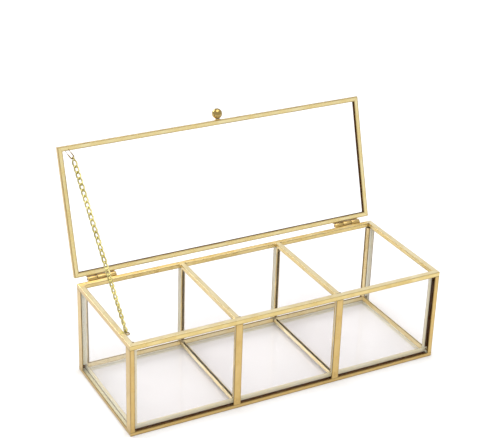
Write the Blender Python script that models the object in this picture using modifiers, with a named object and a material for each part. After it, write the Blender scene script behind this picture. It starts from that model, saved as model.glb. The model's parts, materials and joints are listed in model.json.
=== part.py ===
"""Hinged clear-glass jewelry box in a folded brass frame, with three compartments and a stay chain.

Frame: metres, +Z up, +X along the box's length, -Y towards the user. The box stands on z = 0, and the
origin is the centre of the whole object's footprint with its lid open. The lid is modelled shut, in the
space of an empty on the hinge axis, and that empty then turns it open.
"""
from math import acos, cos, pi, radians, sin

import bmesh
import bpy
from mathutils import Matrix, Vector

# Driving dimensions, in metres unless the name says otherwise.
BOX_LENGTH = 0.2260
BOX_DEPTH = 0.0860
BOX_HEIGHT = 0.0656
LID_DEPTH = 0.0866
LID_THICKNESS = 0.0030
LID_OPEN_DEG = 106.7
LID_CLEARANCE = 0.0005

GLASS = 0.0020
FLOOR_GLASS = 0.0014
DIVIDER_GLASS = 0.0013
LID_GLASS = 0.0017
GROUND_EDGE = 0.00025
GAP = 0.0003
MITRE_GAP = 0.0002
OVERCUT = 0.0002

# Folded strip at the four corners: outer flanges, glass slots and inner bead.
SKIN = 0.0006
FACE_FLANGE = 0.0032
SIDE_FLANGE = 0.0064
SLOT_WALL = 0.0016
GLASS_BACK = 0.0032
SIDE_SLOT = 0.0047
BEAD_TIP = 0.0060
BEAD_LIP = 0.0004
BEAD_BEVEL = 0.0053
BEAD_ROOT = 0.0036
FOOT_CUT = 0.0100

# Folded strip along the bottom edges: the inner bead leans over a slot that takes the floor.
RAIL_FLANGE = 0.0027
RAIL_BEVEL = 0.0054
RAIL_TOE = 0.0045
RAIL_LIP = 0.0049
FLOOR_SLOT = (0.0005, 0.0025)
FLOOR_SLOT_ROOT = 0.0040

# Channel along the top edges.
CAP_OUTER = 0.0034
CAP_INNER = 0.0030
CAP_WIDTH = 0.0036

# Posts and channels that hold the two cross dividers, which make three nearly equal compartments.
DIVIDERS = (("left", -0.0383), ("right", 0.0352))
FRONT_POST_HALF = 0.0026
REAR_POST_HALF = 0.0016
POST_WEB_HALF = 0.0005
CHANNEL_HALF = 0.0013
CHANNEL_WALL = 0.00035
CHANNEL_BASE = 0.0006
CHANNEL_REACH = 0.0048
SILL_HEIGHT = 0.0028
DIVIDER_CAP_HALF = 0.0018
DIVIDER_CHAMFER = 0.0015
EDGE_DRAFT = 0.0001

# Channel of the lid's frame.
LID_RAIL = 0.0032
LID_SKIN = 0.0004
LID_SPINE = 0.0005

# Hinges on the rear top edge.
HINGE_X = 0.0945
HINGE_LENGTH = 0.0200
KNUCKLE_RADIUS = 0.0015
BORE_RADIUS = 0.0009
PIN_RADIUS = 0.0006
AXIS_BEHIND = 0.0022
LEAF_THICKNESS = 0.0007
BOX_LEAF_DROP = 0.0046
LEAF_CLEAR = 0.0014
TAB_RISE = 0.0003

# Ball knob on the lid's free edge.
KNOB_X = 0.0027
KNOB_RADIUS = 0.0036
KNOB_FLAT = 0.0031
COLLAR_RADIUS = 0.0020
COLLAR_HEIGHT = 0.0006

# Stay chain, its rings and the two wire eyes that hold it.
EYE_WIRE = 0.0004
LID_EYE_HALF = 0.0012
LID_EYE_SPAN = 0.0016
LID_EYE_INSET = Vector((0.0079, 0.0060))
LID_EYE_PLAN = Vector((0.46, 0.89, 0))
LID_EYE_DEPTHS = (0.00095, 0.00145)
BOX_EYE_HALF = 0.0013
BOX_EYE_SPAN = 0.0004
BOX_EYE_Y = -0.0261
BOX_EYE_DROP = 0.0016
RING_RADIUS = 0.0016
RING_WIRE = 0.00035
RING_SLACK = 0.0001
CHAIN_RADIUS = 0.0016
CHAIN_SAG = 0.0012
CHAIN_STATIONS = 40

HALF_X = BOX_LENGTH / 2
HALF_Y = BOX_DEPTH / 2
AXIS_Y = HALF_Y + AXIS_BEHIND
AXIS_Z = BOX_HEIGHT + LID_CLEARANCE / 2
POST_TOP = BOX_HEIGHT - CAP_OUTER - GAP
POST_FOOT = RAIL_FLANGE + GAP
BEAD_FOOT = BEAD_TIP + GAP
PANE_TOP = BOX_HEIGHT - SKIN - GAP
PANE_FOOT = SLOT_WALL + GAP
PANE_OUTER = SKIN + GAP
PANE_INNER = PANE_OUTER + GLASS
SIDE_PANE_HALF = HALF_Y - SIDE_SLOT - GAP
FLOOR_FOOT = FLOOR_SLOT[0] + GAP
FLOOR_TOP = FLOOR_FOOT + FLOOR_GLASS

BRASS = (0.78, 0.56, 0.24)
BRASS_PALE = (0.88, 0.74, 0.45)
BRASS_DEEP = (0.55, 0.40, 0.14)
CHAIN_GOLD = (0.78, 0.66, 0.25)
CLEAR = (0.95, 0.97, 0.97)

X_AXIS = Vector((1, 0, 0))
Y_AXIS = Vector((0, 1, 0))
Z_AXIS = Vector((0, 0, 1))


def clear_scene():
    for obj in list(bpy.data.objects):
        bpy.data.objects.remove(obj, do_unlink=True)


def new_collection(name):
    collection = bpy.data.collections.new(name)
    bpy.context.scene.collection.children.link(collection)
    return collection


def material(name, colour, roughness, metallic, transmission=0.0):
    mat = bpy.data.materials.new(name)
    mat.use_nodes = True
    shader = mat.node_tree.nodes["Principled BSDF"]
    shader.inputs["Base Color"].default_value = (*colour, 1.0)
    shader.inputs["Roughness"].default_value = roughness
    shader.inputs["Metallic"].default_value = metallic
    shader.inputs["Transmission Weight"].default_value = transmission
    return mat


def brass(name, colour=BRASS, roughness=0.24):
    return material(name + "_brass", colour, roughness, 1.0)


def clear_glass(name):
    return material(name + "_clear", CLEAR, 0.03, 0.0, transmission=1.0)


def add_node(name, mesh, mat, location=(0, 0, 0), parent=None, rotation=(0, 0, 0)):
    """One named sub-part, held in the object's collection and placed under its parent."""
    obj = bpy.data.objects.new(name, mesh)
    parts.objects.link(obj)
    mesh.materials.clear()
    mesh.materials.append(mat)
    obj.location = location
    obj.rotation_euler = rotation
    obj.parent = parent or box_frame
    return obj


def add_empty(name, location, parent=None):
    empty = bpy.data.objects.new(name, None)
    parts.objects.link(empty)
    empty.empty_display_size = 0.01
    empty.location = location
    empty.parent = parent
    return empty


def mesh_of_curve(curve):
    """The closed mesh that a curve makes, with its caps welded on."""
    holder = bpy.data.objects.new(curve.name, curve)
    bpy.context.scene.collection.objects.link(holder)
    bpy.context.view_layer.update()
    evaluated = holder.evaluated_get(bpy.context.evaluated_depsgraph_get())
    mesh = bpy.data.meshes.new_from_object(evaluated)
    bpy.data.objects.remove(holder, do_unlink=True)
    body = bmesh.new()
    body.from_mesh(mesh)
    bmesh.ops.remove_doubles(body, verts=body.verts, dist=1e-6)
    bmesh.ops.recalc_face_normals(body, faces=body.faces)
    body.to_mesh(mesh)
    body.free()
    return mesh


def extrusion(name, outline, length):
    """A flat outline in XY, pushed out along Z to the given length about its middle."""
    curve = bpy.data.curves.new(name, "CURVE")
    curve.dimensions = "2D"
    curve.fill_mode = "BOTH"
    curve.extrude = length / 2
    spline = curve.splines.new("POLY")
    spline.points.add(len(outline) - 1)
    for point, (x, y) in zip(spline.points, outline):
        point.co = (x, y, 0, 1)
    spline.use_cyclic_u = True
    return mesh_of_curve(curve)


def turn_section(mesh, first, second):
    """Turns an extrusion so that its outline's X and Y run along the two given directions."""
    axes = Matrix((first, second, first.cross(second))).transposed()
    mesh.transform(axes.to_4x4())


def strip(name, outline, length, first, second, location, mat, parent=None, mitred=False):
    """A folded strip: an outline with its two directions, run along the third."""
    mesh = extrusion(name, outline, length)
    if mitred:
        for vertex in mesh.vertices:
            side = 1 if vertex.co.z > 0 else -1
            vertex.co.z -= side * (vertex.co.y + MITRE_GAP)
    turn_section(mesh, first, second)
    return add_node(name, mesh, mat, location, parent)


def block_mesh(name, size):
    body = bmesh.new()
    bmesh.ops.create_cube(body, size=1.0, matrix=Matrix.Diagonal((*size, 1.0)))
    mesh = bpy.data.meshes.new(name)
    body.to_mesh(mesh)
    body.free()
    return mesh


def middle_and_size(low, high):
    low, high = Vector(low), Vector(high)
    return (low + high) / 2, high - low


def pane(name, low, high, parent=None):
    """A glass pane between two corners, with its cut edges taken off."""
    centre, size = middle_and_size(low, high)
    obj = add_node(name, block_mesh(name, size), clear_glass(name), centre, parent)
    edges = obj.modifiers.new("ground_edges", "BEVEL")
    edges.width = GROUND_EDGE
    edges.segments = 1
    return obj


def helper(name, mesh, location, parent, rotation=(0, 0, 0)):
    """A cutting or joining body, kept out of the model itself."""
    obj = bpy.data.objects.new(name, mesh)
    cutters.objects.link(obj)
    obj.location = location
    obj.rotation_euler = rotation
    obj.parent = parent
    obj.hide_render = True
    obj.display_type = "WIRE"
    return obj


def combine(obj, other, operation):
    step = obj.modifiers.new(operation.lower() + "_" + other.name, "BOOLEAN")
    step.operation = operation
    step.object = other
    step.solver = "EXACT"


def block_helper(name, low, high, parent):
    centre, size = middle_and_size(low, high)
    return helper(name, block_mesh(name, size), centre, parent)


def cylinder_mesh(name, radius, length, segments=20):
    """A round bar along X."""
    body = bmesh.new()
    turn = Matrix.Rotation(pi / 2, 4, "Y")
    bmesh.ops.create_cone(body, cap_ends=True, segments=segments, radius1=radius, radius2=radius,
                          depth=length, matrix=turn)
    mesh = bpy.data.meshes.new(name)
    body.to_mesh(mesh)
    body.free()
    mesh.shade_smooth()
    mesh.set_sharp_from_angle(angle=radians(40))
    return mesh


def rail_outline():
    """Section of the bottom rails: up from their underside, then in from the outer face."""
    return [
        (0, 0), (RAIL_FLANGE, 0), (RAIL_FLANGE, SKIN), (SLOT_WALL, SKIN), (SLOT_WALL, GLASS_BACK),
        (BEAD_TIP, GLASS_BACK), (BEAD_TIP, GLASS_BACK + BEAD_LIP), (RAIL_BEVEL, BEAD_ROOT + EDGE_DRAFT),
        (FLOOR_SLOT[1] + BEAD_LIP, RAIL_TOE), (FLOOR_SLOT[1] + BEAD_LIP, RAIL_LIP),
        (FLOOR_SLOT[1], RAIL_LIP), (FLOOR_SLOT[1], FLOOR_SLOT_ROOT), (FLOOR_SLOT[0], FLOOR_SLOT_ROOT),
        (FLOOR_SLOT[0], RAIL_LIP), (0, RAIL_LIP),
    ]


def corner_outline():
    """Section of the corner posts, measured in from the two outer faces."""
    return [
        (0, 0), (FACE_FLANGE, 0), (FACE_FLANGE, SKIN), (SLOT_WALL, SKIN), (SLOT_WALL, GLASS_BACK),
        (BEAD_TIP, GLASS_BACK), (BEAD_TIP, GLASS_BACK + BEAD_LIP), (BEAD_BEVEL, BEAD_ROOT),
        (BEAD_ROOT, BEAD_BEVEL), (GLASS_BACK + BEAD_LIP, BEAD_TIP), (GLASS_BACK, BEAD_TIP),
        (GLASS_BACK, SIDE_SLOT), (SKIN, SIDE_SLOT), (SKIN, SIDE_FLANGE), (0, SIDE_FLANGE),
    ]


def top_outline():
    """Section of the top rails: down from the top face, then in from the outer face."""
    return [
        (0, 0), (CAP_OUTER, 0), (CAP_OUTER, SKIN), (SKIN, SKIN), (SKIN, PANE_INNER + GAP / 2),
        (CAP_INNER, PANE_INNER + GAP / 2), (CAP_INNER, CAP_WIDTH), (0, CAP_WIDTH),
    ]


def lid_outline():
    """Section of the lid's frame: up from its underside, then in from its outer edge."""
    return [
        (0, 0), (0, LID_RAIL), (LID_SKIN, LID_RAIL), (LID_SKIN, LID_SPINE),
        (LID_THICKNESS - LID_SKIN, LID_SPINE), (LID_THICKNESS - LID_SKIN, LID_RAIL),
        (LID_THICKNESS, LID_RAIL), (LID_THICKNESS, 0),
    ]


def channel_outline(half, depth):
    """Open channel that takes a divider's edge: across it, then from its back to its open side."""
    inner = half - CHANNEL_WALL
    return [
        (-half, 0), (half, 0), (half, depth), (inner, depth),
        (inner, CHANNEL_BASE), (-inner, CHANNEL_BASE), (-inner, depth), (-half, depth),
    ]


def post_outline(flange_half):
    """Section of a divider post: a face flange, a web between two panes and an inner channel."""
    inner = CHANNEL_HALF - CHANNEL_WALL
    base = GLASS_BACK + CHANNEL_BASE
    half = [
        (flange_half, 0), (flange_half, SKIN - EDGE_DRAFT), (POST_WEB_HALF, SKIN),
        (POST_WEB_HALF, GLASS_BACK), (CHANNEL_HALF, GLASS_BACK + EDGE_DRAFT),
        (CHANNEL_HALF, CHANNEL_REACH), (inner, CHANNEL_REACH), (inner, base),
    ]
    return half + [(-x, y) for x, y in reversed(half)]


def build_edge_rails(stem, outline, level, upward):
    """Four mitred rails round the box, at the given level."""
    up = Z_AXIS * upward
    for side, inward in (("front", Y_AXIS), ("rear", -Y_AXIS)):
        name = f"{stem}_{side}"
        place = Vector((0, 0, level)) - inward * HALF_Y
        strip(name, outline, BOX_LENGTH, up, inward, place, brass(name), mitred=True)
    for side, inward in (("left", X_AXIS), ("right", -X_AXIS)):
        name = f"{stem}_{side}"
        place = Vector((0, 0, level)) - inward * HALF_X
        strip(name, outline, BOX_DEPTH, up, inward, place, brass(name), mitred=True)


def build_corner_posts():
    middle = (POST_FOOT + POST_TOP) / 2
    for face, y_in in (("front", 1), ("rear", -1)):
        for side, x_in in (("left", 1), ("right", -1)):
            name = f"corner_post_{face}_{side}"
            place = Vector((-x_in * HALF_X, -y_in * HALF_Y, middle))
            post = strip(name, corner_outline(), POST_TOP - POST_FOOT, X_AXIS * x_in, Y_AXIS * y_in,
                         place, brass(name))
            cut_x = [x_in * (depth - HALF_X) for depth in (SKIN + OVERCUT, FOOT_CUT)]
            cut_y = [y_in * (depth - HALF_Y) for depth in (GLASS_BACK - OVERCUT, FOOT_CUT)]
            low = (min(cut_x), min(cut_y), 0)
            high = (max(cut_x), max(cut_y), BEAD_FOOT)
            combine(post, block_helper(name + "_foot_cut", low, high, box_frame), "DIFFERENCE")


def build_divider_posts():
    middle = (POST_FOOT + POST_TOP) / 2
    for face, y_in, flange in (("front", 1, FRONT_POST_HALF), ("rear", -1, REAR_POST_HALF)):
        for side, x in DIVIDERS:
            name = f"divider_post_{face}_{side}"
            place = Vector((x, -y_in * HALF_Y, middle))
            post = strip(name, post_outline(flange), POST_TOP - POST_FOOT, X_AXIS, Y_AXIS * y_in,
                         place, brass(name))
            cut_y = [y_in * (depth - HALF_Y) for depth in (GLASS_BACK - OVERCUT, FOOT_CUT)]
            low = (x - flange, min(cut_y), 0)
            high = (x + flange, max(cut_y), BEAD_FOOT)
            combine(post, block_helper(name + "_foot_cut", low, high, box_frame), "DIFFERENCE")


def build_dividers():
    """Each cross divider: a pane that stands in a sill channel and wears a cap channel."""
    sill_foot = FLOOR_TOP + GAP
    reach = HALF_Y - GLASS_BACK - CHANNEL_BASE - GAP
    foot = sill_foot + CHANNEL_BASE + GAP
    outline = [
        (reach - DIVIDER_CHAMFER, foot), (reach, foot + DIVIDER_CHAMFER), (reach, PANE_TOP),
        (-reach, PANE_TOP), (-reach, foot + DIVIDER_CHAMFER), (DIVIDER_CHAMFER - reach, foot),
    ]
    for side, x in DIVIDERS:
        name = f"divider_glass_{side}"
        strip(name, outline, DIVIDER_GLASS, Y_AXIS, Z_AXIS, (x, 0, 0), clear_glass(name))
        name = f"divider_sill_{side}"
        strip(name, channel_outline(CHANNEL_HALF, SILL_HEIGHT), BOX_DEPTH - 2 * (RAIL_LIP + GAP),
              X_AXIS, Z_AXIS, (x, 0, sill_foot), brass(name))
        name = f"divider_cap_{side}"
        strip(name, channel_outline(DIVIDER_CAP_HALF, CAP_INNER), BOX_DEPTH - 2 * (CAP_WIDTH + GAP),
              X_AXIS, -Z_AXIS, (x, 0, BOX_HEIGHT), brass(name, BRASS_PALE))


def build_panes():
    """Floor, three front panes, three rear panes and the two ends."""
    floor_x = HALF_X - FLOOR_SLOT_ROOT - GAP
    floor_y = HALF_Y - FLOOR_SLOT_ROOT - GAP
    pane("glass_floor", (-floor_x, -floor_y, FLOOR_FOOT), (floor_x, floor_y, FLOOR_TOP))
    end = HALF_X - SLOT_WALL - GAP
    web = POST_WEB_HALF + GAP
    (_, left), (_, right) = DIVIDERS
    spans = (("left", -end, left - web), ("centre", left + web, right - web), ("right", right + web, end))
    near, far = HALF_Y - PANE_OUTER, HALF_Y - PANE_INNER
    for span, start, stop in spans:
        pane(f"glass_front_{span}", (start, -near, PANE_FOOT), (stop, -far, PANE_TOP))
        pane(f"glass_rear_{span}", (start, far, PANE_FOOT), (stop, near, PANE_TOP))
    outer, inner = HALF_X - PANE_OUTER, HALF_X - PANE_INNER
    pane("glass_left", (-outer, -SIDE_PANE_HALF, PANE_FOOT), (-inner, SIDE_PANE_HALF, PANE_TOP))
    pane("glass_right", (inner, -SIDE_PANE_HALF, PANE_FOOT), (outer, SIDE_PANE_HALF, PANE_TOP))


def build_lid():
    """The lid's mitred frame and glass, shut, measured from the hinge axis."""
    base = LID_CLEARANCE / 2
    rear = -AXIS_BEHIND
    front = rear - LID_DEPTH
    centre = (front + rear) / 2
    rails = (("lid_rail_front", BOX_LENGTH, Y_AXIS, (0, front, base)),
             ("lid_rail_hinge", BOX_LENGTH, -Y_AXIS, (0, rear, base)),
             ("lid_rail_left", LID_DEPTH, X_AXIS, (-HALF_X, centre, base)),
             ("lid_rail_right", LID_DEPTH, -X_AXIS, (HALF_X, centre, base)))
    for name, length, inward, place in rails:
        strip(name, lid_outline(), length, Z_AXIS, inward, place, brass(name), lid_axis, mitred=True)
    edge = LID_SPINE + GAP
    middle = base + LID_THICKNESS / 2
    pane("glass_lid", (edge - HALF_X, front + edge, middle - LID_GLASS / 2),
         (HALF_X - edge, rear - edge, middle + LID_GLASS / 2), lid_axis)


def turned(name, profile, mat, location, rotation, steps=32):
    """A turned piece: its profile runs down its outer side and is spun about its own Z."""
    mesh = bpy.data.meshes.new(name)
    links = [(i, i + 1) for i in range(len(profile) - 1)]
    mesh.from_pydata([(r, 0, z) for r, z in profile], links, [])
    obj = add_node(name, mesh, mat, location, lid_axis, rotation)
    spin = obj.modifiers.new("spin", "SCREW")
    spin.steps = steps
    spin.render_steps = steps
    spin.use_merge_vertices = True
    spin.merge_threshold = 1e-5
    spin.use_smooth_shade = True
    return obj


def build_knob():
    """Ball and collar on the middle of the lid's free edge, pointing away from the hinge."""
    edge = -AXIS_BEHIND - LID_DEPTH
    middle = LID_CLEARANCE / 2 + LID_THICKNESS / 2
    outward = (pi / 2, 0, 0)
    collar = [(0, COLLAR_HEIGHT), (COLLAR_RADIUS * 0.85, COLLAR_HEIGHT),
              (COLLAR_RADIUS, COLLAR_HEIGHT * 0.6), (COLLAR_RADIUS, 0), (0, 0)]
    turned("knob_collar", collar, brass("knob_collar", BRASS_DEEP), (KNOB_X, edge - GAP, middle), outward)
    seat = GAP + COLLAR_HEIGHT + GAP
    rim = pi - acos(KNOB_FLAT / KNOB_RADIUS)
    arcs = 16
    ball = [(KNOB_RADIUS * sin(rim * i / arcs), KNOB_RADIUS * cos(rim * i / arcs)) for i in range(arcs + 1)]
    ball.append((0, -KNOB_FLAT))
    turned("knob_ball", ball, brass("knob_ball", BRASS_DEEP, 0.12),
           (KNOB_X, edge - seat - KNOB_FLAT, middle), outward)


def hinge_leaf(name, outline, knuckles, parent, origin):
    """A flat leaf whose outline is given in X and Z about the pin, with its rolled knuckles."""
    mesh = extrusion(name, outline, LEAF_THICKNESS)
    turn_section(mesh, X_AXIS, Z_AXIS)
    mesh.transform(Matrix.Translation((0, GAP + LEAF_THICKNESS / 2 - AXIS_BEHIND, 0)))
    leaf = add_node(name, mesh, brass(name), origin, parent)
    for index, (start, stop) in enumerate(knuckles):
        roll = cylinder_mesh(f"{name}_roll_{index}", KNUCKLE_RADIUS, stop - start)
        place = Vector(origin) + X_AXIS * (start + stop) / 2
        combine(leaf, helper(roll.name, roll, place, parent), "UNION")
    bore = cylinder_mesh(name + "_bore", BORE_RADIUS, HINGE_LENGTH * 1.2)
    combine(leaf, helper(bore.name, bore, origin, parent), "DIFFERENCE")


def build_hinges():
    """Two butt hinges: outer knuckles on the box, the middle one on the lid, and a pin through them."""
    half = HINGE_LENGTH / 2
    knuckle = (HINGE_LENGTH - 2 * GAP) / 3
    inner = half - knuckle
    middle = knuckle / 2
    top = LID_CLEARANCE / 2 + LID_THICKNESS - GAP / 2
    out, tab_in, tab_mid = half - EDGE_DRAFT, inner + EDGE_DRAFT, middle - EDGE_DRAFT
    box_leaf = [
        (-out, -BOX_LEAF_DROP), (out, -BOX_LEAF_DROP), (out, TAB_RISE), (tab_in, TAB_RISE + EDGE_DRAFT),
        (tab_in, -LEAF_CLEAR), (-tab_in, -LEAF_CLEAR), (-tab_in, TAB_RISE + EDGE_DRAFT), (-out, TAB_RISE),
    ]
    lid_leaf = [
        (-out, top), (-out, LEAF_CLEAR + EDGE_DRAFT), (-tab_mid, LEAF_CLEAR), (-tab_mid, -TAB_RISE),
        (tab_mid, -TAB_RISE), (tab_mid, LEAF_CLEAR), (out, LEAF_CLEAR + EDGE_DRAFT), (out, top),
    ]
    for side, x in (("left", -HINGE_X), ("right", HINGE_X)):
        on_box = (x, AXIS_Y, AXIS_Z)
        hinge_leaf(f"hinge_{side}_box_leaf", box_leaf, ((-half, -inner), (inner, half)), box_frame, on_box)
        hinge_leaf(f"hinge_{side}_lid_leaf", lid_leaf, ((-middle, middle),), lid_axis, (x, 0, 0))
        name = f"hinge_{side}_pin"
        pin = cylinder_mesh(name, PIN_RADIUS, HINGE_LENGTH + 2 * GAP, segments=16)
        add_node(name, pin, brass(name, BRASS_DEEP), on_box)


def wire(name, points, radius, mat, closed, location=(0, 0, 0), parent=None, rotation=(0, 0, 0)):
    """A round wire along a list of points."""
    curve = bpy.data.curves.new(name, "CURVE")
    curve.dimensions = "3D"
    curve.bevel_depth = radius
    curve.bevel_resolution = 2
    curve.use_fill_caps = True
    spline = curve.splines.new("POLY")
    spline.points.add(len(points) - 1)
    for point, place in zip(spline.points, points):
        point.co = (*place, 1)
    spline.use_cyclic_u = closed
    return add_node(name, curve, mat, location, parent, rotation)


def eye_points(half, span, arc_steps=10):
    """A closed loop with round ends, its length along X."""
    points = []
    for end, first in ((span / 2, -pi / 2), (-span / 2, pi / 2)):
        angles = [first + pi * i / arc_steps for i in range(arc_steps + 1)]
        points += [(end + half * cos(a), half * sin(a), 0) for a in angles]
    return points


def ring_points(radius, steps=20):
    return [(radius * cos(2 * pi * i / steps), radius * sin(2 * pi * i / steps), 0) for i in range(steps)]


def basis(along, normal):
    """Rotation that lays local X along one direction and turns local Z towards the other."""
    x = along.normalized()
    z = (normal - x * normal.dot(x)).normalized()
    return Matrix((x, z.cross(x), z)).transposed()


def build_chain():
    """Wire eyes on the lid's corner and the left top rail, a ring in each, and the chain between."""
    base = LID_CLEARANCE / 2
    front = -AXIS_BEHIND - LID_DEPTH
    start = Vector((LID_EYE_INSET.x - HALF_X, front + LID_EYE_INSET.y, base - LID_EYE_DEPTHS[0]))
    stop = start + LID_EYE_PLAN.normalized() * LID_EYE_SPAN
    stop.z = base - LID_EYE_DEPTHS[1]
    along = (stop - start).normalized()
    turn = basis(along, Z_AXIS)
    wire("lid_eye", eye_points(LID_EYE_HALF, (stop - start).length), EYE_WIRE, brass("lid_eye", BRASS_DEEP),
         True, (start + stop) / 2, lid_axis, turn.to_euler())
    lid_ring = stop + along * (RING_RADIUS + RING_SLACK)
    ring_turn = basis(along, turn.col[1])
    wire("lid_ring", ring_points(RING_RADIUS), RING_WIRE, brass("lid_ring", CHAIN_GOLD), True,
         lid_ring, lid_axis, ring_turn.to_euler())

    beside_rail = CAP_WIDTH - HALF_X + GAP + EYE_WIRE + BOX_EYE_HALF
    eye = Vector((beside_rail, BOX_EYE_Y, BOX_HEIGHT - BOX_EYE_DROP))
    wire("box_eye", eye_points(BOX_EYE_HALF, BOX_EYE_SPAN), EYE_WIRE, brass("box_eye", BRASS_DEEP),
         True, eye, None, (0, 0, pi / 2))
    opened = Matrix.Rotation(-radians(LID_OPEN_DEG), 3, "X")
    far = Vector((0, AXIS_Y, AXIS_Z)) + opened @ lid_ring
    tip = eye + Y_AXIS * (BOX_EYE_SPAN / 2 + BOX_EYE_HALF)
    pull = (far - tip).normalized()
    near = tip + pull * RING_SLACK * 2
    wire("box_ring", ring_points(RING_RADIUS), RING_WIRE, brass("box_ring", CHAIN_GOLD), True,
         near, None, basis(pull, X_AXIS).to_euler())
    clear = pull * (RING_RADIUS + RING_WIRE + GAP)
    first, last = near + clear, far - clear
    route = []
    for i in range(CHAIN_STATIONS + 1):
        t = i / CHAIN_STATIONS
        route.append(first.lerp(last, t) - Z_AXIS * CHAIN_SAG * 4 * t * (1 - t))
    wire("stay_chain", route, CHAIN_RADIUS, brass("stay_chain", CHAIN_GOLD, 0.3), False)


def footprint_middle():
    """Middle of the footprint in Y: from the box's front to the back of the open lid's knob."""
    turn = radians(LID_OPEN_DEG)
    arm = AXIS_BEHIND + LID_DEPTH + 2 * GAP + COLLAR_HEIGHT + KNOB_FLAT
    middle = LID_CLEARANCE / 2 + LID_THICKNESS / 2
    rear = AXIS_Y - arm * cos(turn) + middle * sin(turn) + KNOB_RADIUS
    return (rear - HALF_Y) / 2


clear_scene()
parts = new_collection("jewelry_box")
cutters = new_collection("cutters")
box_frame = add_empty("box_frame", (0, -footprint_middle(), 0))
lid_axis = add_empty("lid_axis", (0, AXIS_Y, AXIS_Z), box_frame)

build_edge_rails("bottom_rail", rail_outline(), 0, 1)
build_corner_posts()
build_edge_rails("top_rail", top_outline(), BOX_HEIGHT, -1)
build_divider_posts()
build_dividers()
build_panes()
build_lid()
build_knob()
build_hinges()
build_chain()
lid_axis.rotation_euler = (-radians(LID_OPEN_DEG), 0, 0)
bpy.context.view_layer.update()
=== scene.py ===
"""Looks of a hinged clear-glass jewelry box: folded brass strip, thin panes, hinges, ball knob, stay chain.

Metres, +Z up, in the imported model's frame. Parts of the box are placed from the middle of its underside.
Parts of the lid are drawn shut, measured from the hinge axis, and turned open with it.
"""

import json
from math import atan2, cos, pi, radians, sin, tan

import bmesh
import bpy
from mathutils import Matrix, Vector, noise


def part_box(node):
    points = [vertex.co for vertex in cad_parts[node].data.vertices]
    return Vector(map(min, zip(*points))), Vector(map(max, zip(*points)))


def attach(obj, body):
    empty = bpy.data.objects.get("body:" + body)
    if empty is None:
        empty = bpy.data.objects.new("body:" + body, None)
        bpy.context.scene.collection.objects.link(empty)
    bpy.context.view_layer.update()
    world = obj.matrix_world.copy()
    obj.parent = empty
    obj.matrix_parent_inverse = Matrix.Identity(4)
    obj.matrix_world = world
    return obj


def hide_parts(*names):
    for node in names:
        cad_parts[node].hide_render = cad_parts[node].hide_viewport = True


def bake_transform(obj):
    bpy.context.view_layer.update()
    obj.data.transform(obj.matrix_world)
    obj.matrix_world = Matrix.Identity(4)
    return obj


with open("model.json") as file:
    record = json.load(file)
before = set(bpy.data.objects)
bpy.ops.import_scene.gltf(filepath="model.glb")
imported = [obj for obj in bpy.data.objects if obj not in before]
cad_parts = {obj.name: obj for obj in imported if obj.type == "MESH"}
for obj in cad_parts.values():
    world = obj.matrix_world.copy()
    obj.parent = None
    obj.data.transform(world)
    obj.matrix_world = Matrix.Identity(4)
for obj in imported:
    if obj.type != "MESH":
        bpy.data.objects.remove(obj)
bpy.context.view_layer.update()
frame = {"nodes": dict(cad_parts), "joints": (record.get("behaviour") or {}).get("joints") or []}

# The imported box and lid.
FRONT_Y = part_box("bottom_rail_front")[0].y
REAR_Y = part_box("bottom_rail_rear")[1].y
LEFT_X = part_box("bottom_rail_left")[0].x
RIGHT_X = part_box("bottom_rail_right")[1].x
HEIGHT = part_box("top_rail_front")[1].z
HALF_X = (RIGHT_X - LEFT_X) / 2
HALF_Y = (REAR_Y - FRONT_Y) / 2
BOX = Matrix.Translation(((LEFT_X + RIGHT_X) / 2, (FRONT_Y + REAR_Y) / 2, 0))
DIVIDERS = [(side, sum(corner.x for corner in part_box("divider_cap_" + side)) / 2 - BOX.translation.x)
            for side in ("left", "right")]
HINGE = frame["joints"][0]
HINGE_AT = Vector(HINGE["pos_m"])
OPEN = radians(HINGE["range_deg"][1])
LID = Matrix.Translation(HINGE_AT) @ Matrix.Rotation(-OPEN, 4, "X")
ON_BOX = (BOX, "box")
ON_LID = (LID, "lid")

# The box's folded strips: depths and widths on their sections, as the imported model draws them.
SKIN = 0.0006
SLOT_WALL = 0.0016
GLASS_BACK = 0.0032
BEAD_ROOT = 0.0036
BEAD_TIP = 0.0060
BEAD_LIP = 0.0004

# Bottom rails, and how high the painted shade in the foot of their slots reaches.
RAIL_FLANGE = 0.0027
RAIL_BEVEL = 0.0054
RAIL_TOE = 0.0045
RAIL_LIP = 0.0049
FLOOR_SLOT = (0.0005, 0.0025)
FLOOR_SLOT_ROOT = 0.0040
FLOOR_TOP = 0.0022
PAINTED_SHADE_TOP = 0.0026
SIDE_PAINTED_SHADE_TOP = 0.0023

# Corner posts, and how high the painted shade in the foot of their slots reaches.
FACE_FLANGE = 0.0032
SIDE_FLANGE = 0.0064
SIDE_SLOT = 0.0047
BEAD_BEVEL = 0.0053
POST_PAINTED_SHADE_TOP = 0.0038

# Top rails, and the caps over the dividers.
CAP_OUTER = 0.0034
CAP_INNER = 0.0030
CAP_WIDTH = 0.0036
CAP_LINER = 0.00305
DIVIDER_CAP_HALF = 0.0018

# Divider posts and sills.
FRONT_POST_HALF = 0.0026
REAR_POST_HALF = 0.0016
POST_WEB = 0.0005
CHANNEL_HALF = 0.0013
CHANNEL_MOUTH_HALF = 0.0007
CHANNEL_BASE = 0.0006
CHANNEL_REACH = 0.0048
SILL_HEIGHT = 0.0028

# The posts' inner folds start on the bottom rails' beads, higher than their flanges.
FOLD_RISE = BEAD_TIP - RAIL_FLANGE
FOLD_START = 1.2 * SKIN

# Lid: its frame's section, and where it lies from the hinge axis when shut.
LID_THICKNESS = 0.0030
LID_RAIL = 0.0032
LID_SKIN = 0.0004
LID_SPINE = 0.0005
LID_BASE = 0.00025
LID_DEPTH = 0.0866
LID_GLASS = 0.0017
LID_MIDDLE = LID_BASE + LID_THICKNESS / 2
AXIS_BEHIND = 0.0022

# Clearances.
PANE_INSET = 0.0003
JOINT_GAP = 0.00004

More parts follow.
